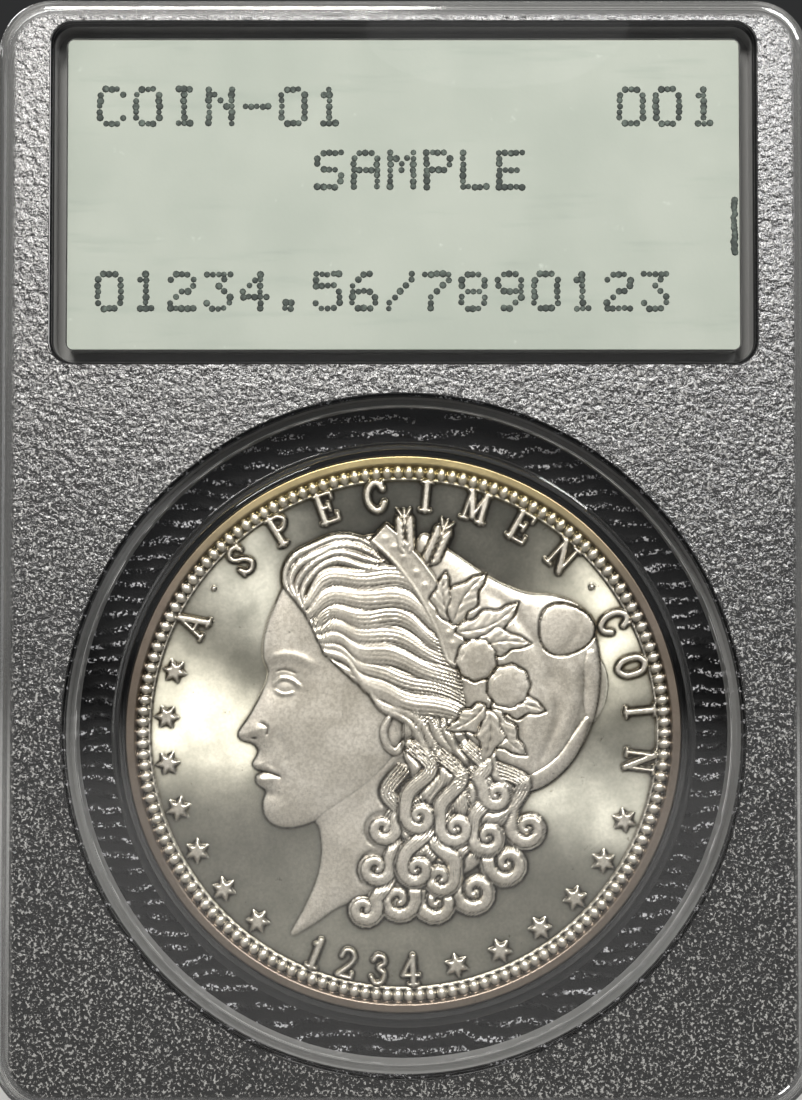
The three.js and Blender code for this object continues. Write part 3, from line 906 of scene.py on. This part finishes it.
def from_axis(g):
    """How far a point lies from the coin's axis, in metres."""
    at = g.vector("SUBTRACT", g.coords, (0, 0, COIN_Z * MM))
    return g.vector("LENGTH", g.vector("MULTIPLY", at, (1, 0, 1)))


def from_box(g, half_w, half_h, z, radius):
    """How far a point lies outside an upright rectangle with round corners; negative inside, metres."""
    at = g.vector("ABSOLUTE", g.vector("SUBTRACT", g.stretched(1, 0, 1), (0, 0, z * MM)))
    corner = ((half_w - radius) * MM, 0, (half_h - radius) * MM)
    over = g.vector("SUBTRACT", at, corner)
    outside = g.vector("LENGTH", g.vector("MAXIMUM", over))
    parts = g.add("ShaderNodeSeparateXYZ", Vector=over)
    nearer = g.maths("MAXIMUM", parts.outputs[0], parts.outputs[2])
    within = g.maths("MINIMUM", nearer, 0.0)
    return g.maths("SUBTRACT", g.maths("ADD", outside, within), radius * MM)


def clear_plastic(g, roughness, normal, tint=(0.975, 0.975, 0.97, 1)):
    """Clear polystyrene. What the eye sees straight through it is bent; light that goes in to the coin and
    the labels, and what they send back, passes straight."""
    glass = g.shader(Base_Color=tint, Roughness=roughness, IOR=PLASTIC_IOR, Transmission_Weight=1.0,
                     Normal=normal)
    through = g.add("ShaderNodeBsdfTransparent", Color=(0.97, 0.97, 0.965, 1)).outputs[0]
    path = g.add("ShaderNodeLightPath").outputs
    result = g.blend(path["Is Reflection Ray"], glass, through)
    return g.blend(path["Is Shadow Ray"], result, through)


def shell_material(name):
    """Clear plastic with polished windows and a smooth border; the panel between them is stippled, on a dark
    grey ground, with grains about 0.2 mm across painted bright as glints of the lamp. The walls of the
    windows and fine broken lines along them are painted a light grey haze, for light seen through them."""
    g = Graph(name)
    parts = g.add("ShaderNodeSeparateXYZ", Vector=g.coords)
    depth = g.maths("ABSOLUTE", parts.outputs[1], 0.0)
    outline = from_box(g, CASE_W / 2, CASE_H / 2, CASE_H / 2, CASE_CORNER)
    coin_window = g.maths("SUBTRACT", from_axis(g), WINDOW_R * MM)
    label_window = from_box(g, *LABEL_HALF, CARD_Z, LABEL_CORNER)
    panel = g.product(g.ramp(depth, (FACE - 0.06) * MM, (FACE - 0.03) * MM),
                      g.ramp(outline, -1.0 * MM, -1.45 * MM),
                      g.ramp(coin_window, 0.2 * MM, 0.3 * MM), g.ramp(label_window, 0.2 * MM, 0.3 * MM))
    grain = g.noise(4600, 3.0, 0.7)
    coarse = g.noise(2100)
    patches = g.noise(120)
    bumpy = g.bump(g.maths("ADD", g.product(grain, 0.6), coarse), 0.09 * MM)
    # painted highlight: bright grains in the base colour stand in for glints of the lamp on the stipple
    painted_panel_glints = g.ramp(g.maths("ADD", grain, g.product(patches, 0.06)), 0.57, 0.66)
    tone = g.mix(painted_panel_glints, rgb(26, 26, 26), rgb(150, 149, 146))
    frost = g.shader(Base_Color=tone, Roughness=0.22, Normal=bumpy, IOR=1.6, Specular_IOR_Level=1.0)
    waves = g.bump(g.noise(110, 1.5), 0.08 * MM, 0.4)
    deep = g.ramp(depth, (FACE - 1.23) * MM, (FACE - 1.19) * MM, 1.0, 0.0)
    # painted light: the walls just inside both windows and a fine line along each are mixed towards a light
    # grey haze, for light seen through the walls; the border takes a faint share of the same haze
    wall = g.maths("MAXIMUM", wall_band(g, coin_window, 0.5), wall_band(g, label_window, 0.8))
    lines = g.maths("MAXIMUM", painted_light_line(g, coin_window, -0.62), painted_light_line(g, label_window, -0.86))
    edge = g.ramp(outline, -1.4 * MM, -1.1 * MM)
    haze_and_painted_light = g.shader(Base_Color=rgb(170, 170, 168), Roughness=0.4, Normal=waves, IOR=PLASTIC_IOR)
    share = g.maths("MAXIMUM", g.product(wall, deep, 0.55), g.product(edge, 0.06))
    share = g.maths("MAXIMUM", share, g.product(lines, deep, 0.9))
    clear = g.blend(share, clear_plastic(g, g.ramp(edge, 0.0, 1.0, 0.015, 0.07), waves), haze_and_painted_light)
    return g.finish(g.blend(panel, clear, frost))


def wall_band(g, distance, width):
    """1 where a distance from a window's edge falls in the wall just inside that edge, else 0."""
    inner = g.ramp(distance, -(width + 0.05) * MM, -(width + 0.02) * MM)
    return g.product(inner, g.ramp(distance, 0.02 * MM, 0.05 * MM, 1.0, 0.0))


def painted_light_line(g, distance, place):
    """1 on a fine line at a distance from a window's edge, where a painted highlight goes, else 0; it breaks
    up along its length.
    """
    return g.product(g.ramp(distance, (place - 0.05) * MM, place * MM),
                     g.ramp(distance, place * MM, (place + 0.05) * MM, 1.0, 0.0),
                     g.ramp(g.noise(420), 0.35, 0.6))


def ring_material():
    """Clear plastic with a smoky tint and faint waves."""
    g = Graph("clear_ring")
    waves = g.bump(g.noise(600, 2.0), 0.01 * MM, 0.4)
    return g.finish(clear_plastic(g, 0.03, waves, (0.1, 0.1, 0.1, 1)))


def core_material():
    """Black moulded plastic with a leather-like grain: wavy broken ridges about 1 mm apart run across it,
    and fine pale points along their tops are painted highlights, glints of the light."""
    g = Graph("grained_black")
    wander = g.noise(330, 2.0, 0.6, at=g.stretched(1, 1, 0.6))
    parts = g.add("ShaderNodeSeparateXYZ", Vector=g.coords)
    rows = g.maths("ADD", g.product(parts.outputs[2], 2 * math.pi * 960), g.product(wander, 11.0))
    ridge = g.maths("ADD", g.product(g.maths("SINE", rows, 0.0), 0.5), 0.5)
    pebble = g.noise(1500, 3.0, 0.65)
    relief = g.product(g.maths("POWER", ridge, 2.0), g.ramp(pebble, 0.35, 0.65))
    clusters = g.ramp(g.noise(760, 2.0, 0.5), 0.38, 0.52)
    points = g.ramp(g.noise(5600, 2.0, 0.6), 0.52, 0.6)
    # painted highlight: pale points in the base colour along the ridge tops stand in for glints of the lamp
    painted_ridge_glints = g.product(points, clusters, g.ramp(ridge, 0.6, 0.9))
    shown = g.ramp(from_axis(g), (WINDOW_R + 0.2) * MM, (WINDOW_R + 0.5) * MM, 1.0, 0.0)
    painted_ridge_glints = g.product(painted_ridge_glints, shown)
    relief = g.maths("ADD", g.product(relief, shown), g.product(g.noise(6500), 0.2))
    bumpy = g.bump(relief, 0.16 * MM, 0.7)
    tone = g.mix(painted_ridge_glints, rgb(7, 7, 9), rgb(190, 190, 194))
    return g.finish(g.shader(Base_Color=tone, Roughness=0.55, Normal=bumpy, Specular_IOR_Level=0.12))


def silver_material():
    """Struck silver: frosted relief on fields whose flow lines run outwards, so that highlights spread
    round the coin. Hollows are darker, partly toning and partly painted shade, and the rim is toned pale
    gold towards its top."""
    g = Graph("struck_silver")
    struck = g.add("ShaderNodeAttribute", {"attribute_name": "struck"}).outputs["Fac"]
    hollow = g.add("ShaderNodeAttribute", {"attribute_name": "hollow"}).outputs["Fac"]
    cloud = g.noise(300, 4.0, 0.6)
    grit = g.ramp(g.noise(4300, 4.0, 0.75), 0.35, 0.65)
    field = g.mix(g.ramp(cloud, 0.35, 0.7), rgb(190, 187, 172), rgb(216, 212, 196))
    field = g.mix(g.product(grit, 0.3), field, rgb(150, 148, 134))
    device = g.mix(g.ramp(cloud, 0.3, 0.7), rgb(240, 232, 216), rgb(252, 245, 232))
    device = g.mix(g.product(grit, 0.42), device, rgb(160, 150, 132))
    tone = g.mix(struck, field, device)
    # partly toning and partly painted shade: hollows are mixed towards dark brown
    tone = g.mix(hollow, tone, rgb(62, 56, 44))
    parts = g.add("ShaderNodeSeparateXYZ", Vector=g.coords)
    away = from_axis(g)
    rim = g.ramp(away, (COIN_R - 0.8) * MM, (COIN_R - 0.72) * MM)
    tone = g.mix(g.product(rim, 0.9), tone, rgb(122, 108, 96))
    gold = g.product(g.ramp(away, (COIN_R - 2.2) * MM, (COIN_R - 0.6) * MM),
                     g.ramp(parts.outputs[2], (COIN_Z + 8) * MM, (COIN_Z + 20) * MM))
    tone = g.mix(g.product(gold, 0.4), tone, rgb(226, 205, 128))
    spots = g.ramp(g.noise(1500, 4.0, 0.7), 0.66, 0.72)
    tone = g.mix(g.product(spots, 0.5), tone, rgb(84, 76, 62))
    fine = g.noise(3600, 4.0, 0.7)
    marks = g.noise(1100, 5.0, 0.75, at=g.stretched(1, 1, 0.3))
    relief = g.maths("ADD", g.product(fine, 0.6), g.product(marks, 0.6))
    bumpy = g.bump(relief, 0.022 * MM, g.ramp(struck, 0.0, 1.0, 0.16, 0.75))
    rough = g.ramp(struck, 0.0, 1.0, 0.32, 0.37)
    rough = g.maths("ADD", rough, g.ramp(cloud, 0.3, 0.7, -0.03, 0.04))
    tangent = g.add("ShaderNodeTangent", {"direction_type": "RADIAL", "axis": "Y"}).outputs[0]
    stretch = g.ramp(struck, 0.0, 1.0, 0.96, 0.0)
    return g.finish(g.shader(Base_Color=tone, Metallic=1.0, Roughness=rough, Normal=bumpy,
                             Anisotropic=stretch, Tangent=tangent))


def paper_material():
    """Pale green card with long faint fibres, soft patches and pale flecks."""
    g = Graph("pale_green_card")
    fibres = g.noise(900, 3.0, 0.7, at=g.stretched(0.12, 1, 1))
    patches = g.noise(140, 3.0, 0.5)
    tone = g.mix(g.ramp(patches, 0.3, 0.7), rgb(163, 170, 160), rgb(172, 178, 168))
    tone = g.mix(g.product(g.ramp(fibres, 0.52, 0.75), 0.3), tone, rgb(142, 153, 143))
    flecks = g.ramp(g.noise(820, 5.0, 0.72), 0.64, 0.74)
    tone = g.mix(g.product(flecks, 0.6), tone, rgb(196, 204, 194))
    bumpy = g.bump(g.noise(3000, 3.0), 0.02 * MM, 0.4)
    return g.finish(g.shader(Base_Color=tone, Roughness=0.8, Normal=bumpy))


def ink_material():
    """Faded dark green-grey ribbon ink, thinner in the middle of some strokes."""
    g = Graph("ribbon_ink")
    thin = g.noise(2600, 3.0, 0.6)
    tone = g.mix(g.ramp(thin, 0.4, 0.75), rgb(46, 54, 50), rgb(92, 103, 95))
    return g.finish(g.shader(Base_Color=tone, Roughness=0.7))


def floor_material():
    """A pale matt sheet with painted shade far behind the slab, and a darker grey painted in where it is
    seen by reflection, so that it throws little light back at the slab, as if the sheet before it were
    flagged off."""
    g = Graph("pale_floor")
    tone = g.mix(g.ramp(g.noise(30, 3.0), 0.3, 0.7), rgb(222, 221, 218), rgb(228, 227, 224))
    parts = g.add("ShaderNodeSeparateXYZ", Vector=g.coords)
    # painted shade: the sheet turns dark grey from 0.12 m to 0.8 m behind the slab
    far = g.ramp(parts.outputs[1], 0.12, 0.8)
    tone = g.mix(far, tone, rgb(74, 74, 74))
    # painted shade: seen by reflection, the sheet is a mid grey
    tone = g.mix(g.add("ShaderNodeLightPath").outputs["Is Reflection Ray"], tone, rgb(124, 124, 124))
    return g.finish(g.shader(Base_Color=tone, Roughness=0.7))


# ---------------------------------------------------------------- the coin


def make_coin():
    """Each side of the coin is two pieces that meet at a circle below the letters."""
    silver = silver_material()
    faces = ((-1, obverse, "coin_obverse", OBVERSE_RINGS), (1, reverse, "coin_reverse", REVERSE_RINGS))
    for side, draw, name, rings in faces:
        board = Board(COIN_R, GRID_STEP)
        draw(board)
        rings = rings
        middle = coin_centre(name, board, FACE_MIDDLE, rings, side, silver)
        outer = coin_round(name + "_rim", board, FACE_MIDDLE, rings, side, silver)
        for piece in (middle, outer):
            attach(piece, "loose_coin")
            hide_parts("coin")


# ---------------------------------------------------------------- the labels

DOTS = {
    "0": "01110 10001 10001 10001 10001 10001 01110", "1": "00100 01100 00100 00100 00100 00100 01110",
    "2": "01110 10001 00001 00110 01000 10000 11111", "3": "11111 00010 00100 00010 00001 10001 01110",
    "4": "00010 00110 01010 10010 11111 00010 00010", "5": "11111 10000 11110 00001 00001 10001 01110",
    "6": "00110 01000 10000 11110 10001 10001 01110", "7": "11111 00001 00010 00100 01000 01000 01000",
    "8": "01110 10001 10001 01110 10001 10001 01110", "9": "01110 10001 10001 01111 00001 00010 01100",
    "A": "01110 10001 10001 11111 10001 10001 10001", "C": "01110 10001 10000 10000 10000 10001 01110",
    "E": "11111 10000 10000 11110 10000 10000 11111", "I": "01110 00100 00100 00100 00100 00100 01110",
    "L": "10000 10000 10000 10000 10000 10000 11111", "M": "10001 11011 10101 10101 10001 10001 10001",
    "N": "10001 11001 10101 10011 10001 10001 10001", "O": "01110 10001 10001 10001 10001 10001 01110",
    "P": "11110 10001 10001 11110 10000 10000 10000", "S": "01111 10000 10000 01110 00001 00001 11110",
    "-": "00000 00000 00000 11111 00000 00000 00000", ".": "00000 00000 00000 00000 00000 01100 01100",
    "/": "00001 00001 00010 00100 01000 10000 10000",
}
DOT_PITCH = 0.375
DOT_STEP = 1.05 * DOT_PITCH
CHARACTER_PITCH = 2.5
DOT_RADIUS, BACK_DOT_RADIUS = 0.235, 0.16
# Each line of print: its text, left edge and middle height on the card
LINES = [("COIN-01", -20.9, 6.1), ("001", 14.9, 6.1), ("SAMPLE", -5.9, 1.7),
         ("01234.56/7890123", -21.0, -6.7)]


def printed_dots(lines):
    """The centres of all ink dots, from each line's text, left edge and middle height on the card. Every
    dot is off its place by up to a tenth of the pitch."""
    centres = []
    for text, left, middle in lines:
        for place, character in enumerate(text):
            rows = DOTS[character].split()
            for row, dots in enumerate(rows):
                for column, dot in enumerate(dots):
                    if dot == "1":
                        x = left + place * CHARACTER_PITCH + column * DOT_STEP
                        centres.append((x, middle + (3 - row) * DOT_STEP))
    centres = np.array(centres)
    return centres + rng.uniform(-0.1, 0.1, centres.shape) * DOT_PITCH


def ink_dots(name, centres, radius, y, side, material):
    """Low lens-shaped dots of ink on a card: each is a ring of 8 points on the card, a ring of 8 at 0.6
    of the radius and a middle point, raised by up to 0.012 mm, closed below. Radii vary by a sixth."""
    angle = np.arange(8) * math.pi / 4
    n = len(centres)
    size = radius * rng.uniform(0.85, 1.15, n)
    points = np.zeros((n, 17, 3))
    for start, share, rise in ((0, 1.0, 0.0), (8, 0.6, 0.008)):
        points[:, start:start + 8, 0] = centres[:, :1] + size[:, None] * share * np.cos(angle)
        points[:, start:start + 8, 2] = centres[:, 1:] + size[:, None] * share * np.sin(angle)
        points[:, start:start + 8, 1] = y + side * rise
    points[:, 16, 0] = centres[:, 0]
    points[:, 16, 2] = centres[:, 1]
    points[:, 16, 1] = y + side * 0.012
    k = np.arange(8)
    after = np.roll(k, -1)
    quads = np.stack([k, after, after + 8, k + 8], 1)
    tips = np.stack([k + 8, after + 8, np.full(8, 16)], 1)
    below = k[None, ::-1]
    step = np.arange(n)[:, None, None] * 17
    faces = [(shape[None] + step).reshape(-1, shape.shape[1]) for shape in (quads, tips, below)]
    faces = outwards(faces, side)
    return new_piece(name, points.reshape(-1, 3), faces, material)


def make_labels():
    """The print on both cards: on the front the lines and a short upright tick, on the back rows of dots
    that follow a sine."""
    ink = ink_material()
    z = np.linspace(-4.0, -0.4, 16)
    tick = np.stack([22.75 + rng.uniform(-0.08, 0.08, 16), z], 1)
    front = np.vstack([printed_dots(LINES), tick]) + (0, CARD_Z)
    print_front = ink_dots("label_print", front, DOT_RADIUS, card_lo[1] - 0.001, -1, ink)
    x, z = np.meshgrid(np.arange(-20.5, 20.6, 1.0), np.arange(-8.0, 8.1, 1.0))
    wave = z + 0.5 * np.sin(x * 2 * math.pi / 8.2)
    back = np.stack([x.ravel(), wave.ravel() + CARD_Z], 1)
    print_back = ink_dots("back_print", back, BACK_DOT_RADIUS, BACK_CARD_FACE + 0.001, 1, ink)
    for piece, name in ((print_front, "label"), (print_back, "back_label")):
        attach(piece, "case")


# ---------------------------------------------------------------- the case

SHARP_EDGE = 25  # degrees


def dress(name, material):
    """Gives a CAD node its material, smooth shading across blunt edges and normals that follow its flats."""
    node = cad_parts[name]
    for slot in node.material_slots:
        slot.material = material
    tree = bpy.data.node_groups.get("smooth_by_angle") or smooth_by_angle()
    node.modifiers.new("smooth", "NODES").node_group = tree
    weighted = node.modifiers.new("normals", "WEIGHTED_NORMAL")
    weighted.keep_sharp = True
    weighted.weight = 100


def smooth_by_angle():
    """Geometry nodes that shade faces smooth and keep edges sharp that are steeper than the limit."""
    tree = bpy.data.node_groups.new("smooth_by_angle", "GeometryNodeTree")
    tree.interface.new_socket("Geometry", in_out="INPUT", socket_type="NodeSocketGeometry")
    tree.interface.new_socket("Geometry", in_out="OUTPUT", socket_type="NodeSocketGeometry")
    start, end = tree.nodes.new("NodeGroupInput"), tree.nodes.new("NodeGroupOutput")
    faces, edges = (tree.nodes.new("GeometryNodeSetShadeSmooth") for _ in range(2))
    edges.domain = "EDGE"
    edges.inputs["Shade Smooth"].default_value = False
    angle = tree.nodes.new("GeometryNodeInputMeshEdgeAngle")
    steep = tree.nodes.new("ShaderNodeMath")
    steep.operation = "GREATER_THAN"
    steep.inputs[1].default_value = math.radians(SHARP_EDGE)
    link = tree.links.new
    link(start.outputs[0], faces.inputs["Geometry"])
    link(faces.outputs[0], edges.inputs["Geometry"])
    link(angle.outputs["Unsigned Angle"], steep.inputs[0])
    link(steep.outputs[0], edges.inputs["Selection"])
    link(edges.outputs[0], end.inputs[0])
    return tree


def make_case():
    """The case, its insert, the ring and the cards keep the shapes they have in the frame."""
    shell = shell_material("clear_stippled")
    dress("front_shell", shell)
    dress("back_shell", shell)
    dress("core_insert", core_material())
    dress("coin_ring", ring_material())
    paper = paper_material()
    dress("label_card", paper)
    dress("back_card", paper)


# ---------------------------------------------------------------- stage, camera and lights

CAMERA_DISTANCE = 120.0  # from the front face
CAMERA_HEIGHT = 38.1
CAMERA_SIDE = -0.17
CAMERA_TILT = -1.7  # degrees above the horizon
SEEN_HEIGHT = 74.73  # how much of the front face fits in the picture, top to bottom
SENSOR = 36
FLOOR_HALF = 1500.0


def make_camera():
    """A camera at half the height of the front face and nearly square to it."""
    data = bpy.data.cameras.new("camera")
    data.sensor_width = SENSOR
    data.lens = SENSOR * CAMERA_DISTANCE / SEEN_HEIGHT
    data.clip_start = 0.005
    camera = bpy.data.objects.new("camera", data)
    bpy.context.scene.collection.objects.link(camera)
    tilt = math.radians(CAMERA_TILT)
    back = Vector((0, -math.cos(tilt), math.sin(tilt)))
    aim = Vector((CAMERA_SIDE, -FACE, CAMERA_HEIGHT)) * MM
    camera.location = aim + back * CAMERA_DISTANCE * MM
    camera.rotation_euler = (-back).to_track_quat("-Z", "Y").to_euler()
    bpy.context.scene.camera = camera


def softbox(name, place, aim, width, height, power, colour=(1, 1, 1), shape="RECTANGLE"):
    """An area light at a place, facing a point, both in millimetres."""
    data = bpy.data.lights.new(name, "AREA")
    data.shape = shape
    data.size, data.size_y = width * MM, height * MM
    data.energy = power
    data.color = colour
    light = bpy.data.objects.new(name, data)
    bpy.context.scene.collection.objects.link(light)
    light.location = Vector(place) * MM
    light.rotation_euler = (Vector(aim) - Vector(place)).to_track_quat("-Z", "Y").to_euler()


def make_stage():
    """The floor, a dim world that is darker behind the slab, and the lights."""
    points = np.array([(-1, -1, 0), (1, -1, 0), (1, 1, 0), (-1, 1, 0)]) * FLOOR_HALF
    new_piece("floor", points, [np.array([[0, 1, 2, 3]])], floor_material())
    world = bpy.data.worlds.new("studio")
    bpy.context.scene.world = world
    world.use_nodes = True
    tree = world.node_tree
    coords = tree.nodes.new("ShaderNodeTexCoord")
    parts = tree.nodes.new("ShaderNodeSeparateXYZ")
    ramp = tree.nodes.new("ShaderNodeMapRange")
    tree.links.new(coords.outputs["Generated"], parts.inputs[0])
    tree.links.new(parts.outputs[1], ramp.inputs["Value"])
    for key, number in (("From Min", 0.1), ("From Max", 0.9), ("To Min", 0.11), ("To Max", 0.03)):
        ramp.inputs[key].default_value = number
    tree.links.new(ramp.outputs["Result"], tree.nodes["Background"].inputs["Strength"])
    tree.nodes["Background"].inputs["Color"].default_value = (0.97, 0.98, 1, 1)
    coin = (0, 0, COIN_Z)
    middle = (0, 0, CASE_H / 2)
    softbox("key", (-50, -330, 250), coin, 110, 110, 1.5, (1, 0.98, 0.95))
    softbox("right", (160, -300, 240), coin, 90, 90, 0.92)
    for share in (1.0, 0.75, 0.5, 0.25):  # nested, so that the glare on the label's window fades outwards
        softbox("glint", (24, -330, 181), (0, -3, 74), 66 * share, 30 * share, 0.0016 * share,
                shape="ELLIPSE")
    softbox("behind", (-160, 330, 260), middle, 160, 120, 0.35)
    softbox("low", (-260, -200, 60), middle, 120, 200, 0.12)


make_camera()
make_stage()
make_case()
make_coin()
make_labels()
bpy.context.scene.view_settings.view_transform = "Standard"
